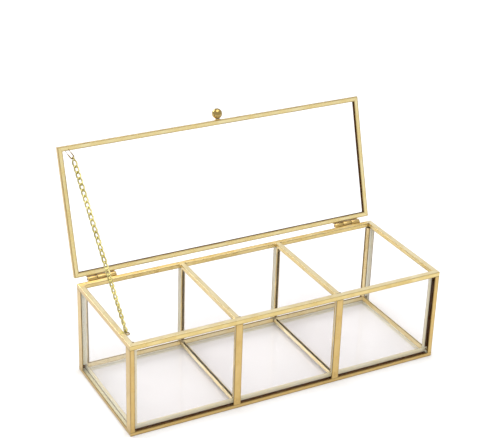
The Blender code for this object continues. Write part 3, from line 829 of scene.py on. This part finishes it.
def tube(made, path, radius, closed, sides=12, normal=Z_AXIS):
    """A round wire along a path of points, added to a mesh; its radius is one number or one per point."""
    count = len(path)
    turns = [2 * pi * k / sides for k in range(sides)]
    rings = []
    for i, point in enumerate(path):
        ahead = path[(i + 1) % count] if closed or i < count - 1 else point
        behind = path[i - 1] if closed or i > 0 else point
        along = (ahead - behind).normalized()
        across = along.cross(normal)
        if across.length < 0.1:
            across = along.cross(X_AXIS)
        across.normalize()
        up = across.cross(along)
        size = radius[i] if isinstance(radius, list) else radius
        places = [point + size * (across * cos(turn) + up * sin(turn)) for turn in turns]
        rings.append([made.verts.new(place) for place in places])
    last = count if closed else count - 1
    for i in range(last):
        lower, upper = rings[i], rings[(i + 1) % count]
        for k in range(sides):
            j = (k + 1) % sides
            made.faces.new((lower[k], lower[j], upper[j], upper[k]))
    if not closed:
        made.faces.new(rings[0][::-1])
        made.faces.new(rings[-1])


def wire_mesh(made, name):
    """The finished mesh of round wires."""
    bmesh.ops.recalc_face_normals(made, faces=made.faces)
    return mesh_from(made, name, 60)


FIRST_GUESS = (0.31, 0.73, 0.61)
GUESS_STEPS = 60


def wire_axes(node):
    """Middle of a CAD wire loop, the direction of its longest spread and of its next longest."""
    points = [v.co.copy() for v in frame["nodes"][node].data.vertices]
    centre = sum(points, Vector()) / len(points)
    spread = Matrix(((0, 0, 0),) * 3)
    for point in points:
        off = point - centre
        for i in range(3):
            for j in range(3):
                spread[i][j] += off[i] * off[j]
    spread = spread * (1 / max(spread[0][0], spread[1][1], spread[2][2]))
    axes = []
    while len(axes) < 2:
        guess = Vector(FIRST_GUESS)
        for _ in range(GUESS_STEPS):
            for axis in axes:
                guess -= axis * guess.dot(axis)
            guess = (spread @ guess).normalized()
        axes.append(guess)
    return centre, axes[0], axes[1]


EYE_WIRE = 0.0004
BOX_EYE_HALF = 0.0013
BOX_EYE_SPAN = 0.0004
RING_WIRE = 0.00035
RING_RADIUS = 0.0016
LOOP_POINTS = 16


def loop_of(node, half, span, body, wire, material):
    """A wire loop with round ends in place of a CAD wire, which gives it its middle and axes."""
    centre, along, across = wire_axes(node)
    path = []
    for end, first in ((span / 2, -pi / 2), (-span / 2, pi / 2)):
        for i in range(LOOP_POINTS):
            angle = first + pi * (i + 0.5) / LOOP_POINTS
            path.append(centre + along * (end + half * cos(angle)) + across * half * sin(angle))
    made = bmesh.new()
    tube(made, path, wire, closed=True, normal=along.cross(across))
    name = node + "_wire"
    show(name, wire_mesh(made, name), body, Matrix.Identity(4), [material], (node,))


# Points of the staple's legs: how far from the bend, how far below the rail, and the wire's radius there.
STAPLE_LEG = ((-0.0038, 0.00016, 0.00016), (-0.0014, 0.0002, 0.0002), (-0.0007, 0.00065, 0.00036),
              (0.0, 0.00095, EYE_WIRE))
STAPLE_HALF = 0.0012
STAPLE_SPAN = 0.0016
STAPLE_DEPTH = 0.0014


def lid_staple():
    """A hairpin of wire under the lid's corner, with its legs pressed flat on the front rail."""
    shut = LID.inverted()
    centre, along, _ = wire_axes("lid_eye")
    centre = shut @ centre
    along = shut.to_3x3() @ along
    along = Vector((along.x, along.y, 0)).normalized() * (1 if along.y > 0 else -1)
    across = Z_AXIS.cross(along)
    start = Vector((centre.x, centre.y, LID_BASE)) - along * STAPLE_SPAN / 2
    legs = {side: [(start + along * reach + across * side * STAPLE_HALF - Z_AXIS * depth, size)
                   for reach, depth, size in STAPLE_LEG] for side in (-1, 1)}
    bend = []
    for i in range(LOOP_POINTS + 1):
        angle = -pi / 2 + pi * i / LOOP_POINTS
        out = along * (STAPLE_SPAN + STAPLE_HALF * cos(angle)) + across * STAPLE_HALF * sin(angle)
        bend.append((start + out - Z_AXIS * STAPLE_DEPTH, EYE_WIRE))
    run = legs[-1] + bend + legs[1][::-1]
    made = bmesh.new()
    tube(made, [point for point, _ in run], [size for _, size in run], closed=False)
    mesh = wire_mesh(made, "lid_eye_staple")
    mesh.transform(LID)
    show("lid_eye_staple", mesh, "lid", Matrix.Identity(4), [LIP], ("lid_eye",))


TAIL_HALF = 0.0009
TAIL_INSET = 0.0007
TAIL_SHORT = 0.0012
TAIL_SLOPE = 1.1
TAIL_SIZE = (0.00022, 0.00042)


def rail_loops():
    """Flattened ends of the box eye's wire, bent over the left top rail and soldered down on it."""
    centre, _, _ = wire_axes("box_eye")
    low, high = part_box("top_rail_left")
    start, stop = low.x + TAIL_INSET, centre.x - TAIL_SHORT
    thin, thick = TAIL_SIZE
    made = bmesh.new()
    for side in (-1, 1):
        path, sizes = [], []
        for i in range(LOOP_POINTS + 1):
            t = i / LOOP_POINTS
            x = start + (stop - start) * t
            drop = max(0.0, x - low.x - CAP_WIDTH) * TAIL_SLOPE
            path.append(Vector((x, centre.y + side * TAIL_HALF * (1 - t / 2), high.z - drop)))
            sizes.append(thin + (thick - thin) * sin(pi * t))
        tube(made, path, sizes, closed=False)
    mesh = wire_mesh(made, "box_eye_tails")
    show("box_eye_tails", mesh, "box", Matrix.Identity(4), [CHAIN])


def wires():
    """The eyes and jump rings at the two ends of the chain."""
    lid_staple()
    loop_of("box_eye", BOX_EYE_HALF, BOX_EYE_SPAN, "box", EYE_WIRE, POLISHED)
    rail_loops()
    loop_of("lid_ring", RING_RADIUS, 0.0, "lid", RING_WIRE, CHAIN)
    loop_of("box_ring", RING_RADIUS, 0.0, "box", RING_WIRE, CHAIN)


LINK_PITCH = 0.0042
LINK_WIRE = 0.00056
LINK_HALF_WIDTH = 0.00145
LINK_WAIST = 0.12
LINK_CURB = radians(72)
LINK_POINTS = 28
LINK_SIDES = 10
CHAIN_ROLL = (radians(-27), radians(48))
CHAIN_SWING = radians(5)
SWING_STEP = 2.1
CHAIN_HOOK = 0.0013

# How close to the CAD chain's ends and middle its mesh points are gathered.
CHAIN_END = 0.0027
CHAIN_END_FACE = 0.0003
CHAIN_MIDDLE = 0.0022


def chain_route():
    """Ends and sag of the CAD chain's centreline."""
    points = [v.co for v in frame["nodes"]["stay_chain"].data.vertices]
    low = min(points, key=lambda p: p.y)
    high = max(points, key=lambda p: p.y)
    ends = []
    for tip in (low, high):
        near = [p for p in points if (p - tip).length < CHAIN_END]
        pull = (high - low).normalized() * (1 if tip is low else -1)
        face = min(p.dot(pull) for p in near)
        cap = [p for p in near if p.dot(pull) < face + CHAIN_END_FACE]
        ends.append(sum(cap, Vector()) / len(cap))
    start, stop = ends
    pull, half = (stop - start).normalized(), (stop - start).length / 2
    waist = [p for p in points if abs((p - start).dot(pull) - half) < CHAIN_MIDDLE]
    middle = sum(waist, Vector()) / len(waist)
    return start, stop, ((start + stop) / 2 - middle).z


def link_path(centre, along, side, face, half, roll):
    """One curb link: an oval about its centre, turned more and more from one end to the other."""
    path = []
    for i in range(LINK_POINTS):
        angle = 2 * pi * i / LINK_POINTS
        x = half * cos(angle)
        y = LINK_HALF_WIDTH * sin(angle) * (1 - LINK_WAIST * sin(angle) ** 2)
        twist = roll + LINK_CURB / 2 * x / half
        path.append(centre + along * x + side * y * sin(twist) + face * y * cos(twist))
    return path


def stay_chain():
    """Twisted curb chain between the two rings, along the CAD chain's own route."""
    start, stop, sag = chain_route()
    pull = (stop - start).normalized()
    start, stop = start - pull * CHAIN_HOOK, stop + pull * CHAIN_HOOK
    length = (stop - start).length
    count = round(length / LINK_PITCH)
    half = length / count / 2 + LINK_WIRE
    lid_roll, box_roll = CHAIN_ROLL
    made = bmesh.new()
    for n in range(count):
        t = (n + 0.5) / count
        centre = start.lerp(stop, t) - Z_AXIS * sag * 4 * t * (1 - t)
        along = (pull - Z_AXIS * sag * 4 * (1 - 2 * t) / length).normalized()
        side = along.cross(X_AXIS).normalized()
        face = side.cross(along)
        roll = lid_roll + (box_roll - lid_roll) * (1 - t) + CHAIN_SWING * sin(n * SWING_STEP)
        path = link_path(centre, along, side, face, half, roll)
        normal = side * cos(roll) - face * sin(roll)
        tube(made, path, LINK_WIRE, closed=True, sides=LINK_SIDES, normal=normal)
    chain = bpy.data.objects.new("stay_chain_links", wire_mesh(made, "stay_chain_links"))
    bpy.context.scene.collection.objects.link(chain)
    chain.data.materials.append(CHAIN)
    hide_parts("stay_chain")
    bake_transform(chain)


SOLDER_SINK = 0.0004
SOLDER_HEIGHT = 0.0005
DIVIDER_SOLDER = 0.0009
FRONT_SOLDER = 0.0011
CORNER_SOLDER = 0.0010
# Two noises make a lump uneven: each one's scale, depth and shift from lump to lump.
LUMPS = ((1.3, 0.28, Vector((3.7, 0, 0))), (3.1, 0.1, Vector((0, 5.1, 0))))


def blob(name, x, y, size, material, seed):
    """A small flowed lump of solder, sunk into the strip it sits on."""
    made = bmesh.new()
    bmesh.ops.create_icosphere(made, subdivisions=4, radius=1.0)
    for vertex in made.verts:
        uneven = [depth * noise.noise(vertex.co * scale + shift * seed) for scale, depth, shift in LUMPS]
        vertex.co *= 1 + sum(uneven)
    mesh = mesh_from(made, name, 80)
    mesh.transform(Matrix.Diagonal((*size, SOLDER_HEIGHT, 1.0)))
    place = Matrix.Translation((x, y, HEIGHT - SOLDER_SINK))
    show(name, mesh, "box", BOX @ place, [material])


def solder_joints():
    """Lumps on the top rails, at both sides of each divider and at the frame's corners."""
    seed = 0
    inner_y = HALF_Y - CAP_WIDTH
    for y, reach in ((-inner_y, FRONT_SOLDER), (inner_y, DIVIDER_SOLDER)):
        for _, x in DIVIDERS:
            for side in (-1, 1):
                seed += 1
                blob(f"solder_divider_{seed}", x + side * DIVIDER_CAP_HALF, y, (DIVIDER_SOLDER, reach),
                     FLUX if side > 0 else SOLDER, seed)
    for x_in in (1, -1):
        for y_in in (1, -1):
            seed += 1
            blob(f"solder_corner_{seed}", -x_in * (HALF_X - CAP_WIDTH), -y_in * inner_y,
                 (CORNER_SOLDER, CORNER_SOLDER), FLUX if x_in == y_in else SOLDER, seed)


edge_rails("bottom_rail", rail_section, 0, Z_AXIS)
edge_rails("top_rail", top_section, HEIGHT, -Z_AXIS)
uprights()
dividers()
panes()
divider_glass()
lid()
knob()
hinges()
wires()
stay_chain()
solder_joints()


# ---------------------------------------------------------------- studio

FLOOR_HALF = 4.0


def floor():
    """A plain pale paper floor."""
    made = bmesh.new()
    bmesh.ops.create_grid(made, x_segments=8, y_segments=8, size=FLOOR_HALF)
    graph = Graph("paper_sweep")
    grain = graph.noise(graph.place(), scale=900.0, detail=3.0, rough=0.6)
    tone = graph.mix(grain, (0.90, 0.90, 0.905), (0.93, 0.93, 0.935))
    graph.link(tone, graph.shader.inputs["Base Color"])
    graph.link(graph.spread(grain, 0.75, 0.9), graph.shader.inputs["Roughness"])
    graph.shader.inputs["Specular IOR Level"].default_value = 0.2
    mesh = mesh_from(made, "paper_sweep")
    mesh.materials.append(graph.material)
    obj = bpy.data.objects.new("paper_sweep", mesh)
    bpy.context.scene.collection.objects.link(obj)


def softbox(name, place, aim, size, watts):
    """A rectangular white lamp that the camera doesn't see."""
    lamp = bpy.data.lights.new(name, "AREA")
    lamp.shape = "RECTANGLE"
    lamp.size, lamp.size_y = size
    lamp.energy = watts
    obj = bpy.data.objects.new(name, lamp)
    bpy.context.scene.collection.objects.link(obj)
    obj.location = place
    obj.rotation_euler = (Vector(aim) - Vector(place)).to_track_quat("-Z", "Y").to_euler()
    obj.visible_camera = False


def studio():
    """Even white light from all around, with a soft lamp above and another behind on the left."""
    world = bpy.data.worlds.new("studio")
    bpy.context.scene.world = world
    world.use_nodes = True
    sky = world.node_tree.nodes["Background"]
    sky.inputs["Color"].default_value = (1.0, 1.0, 1.0, 1)
    sky.inputs["Strength"].default_value = 0.82
    softbox("overhead", place=(0.1, -0.1, 1.3), aim=(0, 0, 0), size=(1.2, 0.9), watts=9.0)
    softbox("rear_left", place=(-0.7, 1.5, 0.9), aim=(0, 0, 0.05), size=(1.3, 0.7), watts=16.0)
    bpy.context.scene.view_settings.view_transform = "Standard"
    bpy.context.scene.cycles.transparent_max_bounces = 32


AZIMUTH = radians(-27.672)
ELEVATION = radians(26.604)
ROLL = radians(1.432)
DISTANCE = 0.85912
TARGET = Vector((-0.03071, 0, 0.10690))
LENS = 97.15
SENSOR_WIDTH = 36.0
SHIFT = (0.0582, 0.0228)
CLIP = (0.05, 20.0)


def camera():
    """A long lens in front of the box's left half, looking down at it and rolled slightly."""
    back = Vector((sin(AZIMUTH) * cos(ELEVATION), -cos(AZIMUTH) * cos(ELEVATION), sin(ELEVATION)))
    across = Z_AXIS.cross(back).normalized()
    up = back.cross(across)
    rolled = across * cos(ROLL) + up * sin(ROLL)
    lens = bpy.data.cameras.new("camera")
    lens.lens = LENS
    lens.sensor_width = SENSOR_WIDTH
    lens.shift_x, lens.shift_y = SHIFT
    obj = bpy.data.objects.new("camera", lens)
    bpy.context.scene.collection.objects.link(obj)
    turn = Matrix((rolled, back.cross(rolled), back)).transposed().to_4x4()
    obj.matrix_world = Matrix.Translation(BOX @ TARGET + back * DISTANCE) @ turn
    lens.clip_start, lens.clip_end = CLIP
    bpy.context.scene.camera = obj


floor()
studio()
camera()
